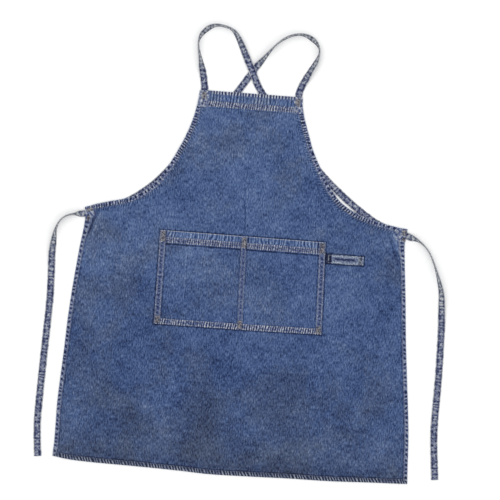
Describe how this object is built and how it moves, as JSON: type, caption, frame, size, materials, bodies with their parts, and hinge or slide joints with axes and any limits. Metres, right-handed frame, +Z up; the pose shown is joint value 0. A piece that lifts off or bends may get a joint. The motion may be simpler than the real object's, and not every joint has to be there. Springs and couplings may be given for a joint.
{
  "type": "artist apron",
  "caption": "Denim bib apron laid flat, with crossed shoulder straps, waist ties, a divided front patch pocket and a side tool loop.",
  "frame": {"origin": "middle of the cloth panel's outline, on the plane the apron lies on, straps and ties left out", "axes": "+Z up out of the front face, +Y from the bottom hem to the bib, +X to the right seen from above"},
  "size_m": [0.8178, 0.9, 0.0151],
  "materials": {
    "denim_panel": "stone-washed blue denim, matt, with worn hems",
    "denim_pocket": "stone-washed blue denim, matt",
    "denim_loop": "faded blue-grey denim, matt",
    "denim_strap": "narrow folded denim, edges faded pale",
    "thread_tan": "faded tan sewing thread",
    "thread_blue": "dark blue sewing thread"
  },
  "bodies": {
    "apron": {"body_panel": "denim_panel", "pocket_panel": "denim_pocket", "tool_loop": "denim_loop", "left_strap_front_end": "denim_strap", "left_strap_back_run": "denim_strap", "right_strap_front_end": "denim_strap", "right_strap_back_run": "denim_strap", "left_tie_root": "denim_strap", "right_tie_root": "denim_strap", "left_armhole_stitching": "thread_blue", "right_armhole_stitching": "thread_blue", "bib_hem_stitching": "thread_tan", "bib_top_stitching": "thread_blue", "left_side_stitching": "thread_blue", "right_side_stitching": "thread_blue", "bottom_hem_stitching": "thread_blue", "pocket_side_stitching": "thread_tan", "pocket_bottom_stitching": "thread_tan", "pocket_divider_stitching": "thread_tan", "pocket_mouth_stitching": "thread_tan", "strap_bartacks": "thread_tan", "pocket_top_bartacks": "thread_tan", "pocket_bottom_bartacks": "thread_tan", "tool_loop_bartacks": "thread_tan", "side_corner_bartacks": "thread_tan"},
    "shoulder_straps": {"left_strap_loop": "denim_strap", "right_strap_loop": "denim_strap"},
    "left_tie": {"left_tie_free": "denim_strap"},
    "right_tie": {"right_tie_free": "denim_strap"}
  },
  "joints": [
    {"name": "strap_fold", "type": "hinge", "parent": "apron", "child": "shoulder_straps", "pos_m": [0, 0.3912, 0.0008], "axis": [1, 0, 0], "range_deg": [0, 145]},
    {"name": "left_tie_swing", "type": "hinge", "parent": "apron", "child": "left_tie", "pos_m": [-0.3745, 0.1021, 0.0075], "axis": [0, 0, -1], "range_deg": [0, 90]},
    {"name": "right_tie_swing", "type": "hinge", "parent": "apron", "child": "right_tie", "pos_m": [0.364, 0.0934, 0.0075], "axis": [0, 0, 1], "range_deg": [0, 90]}
  ]
}
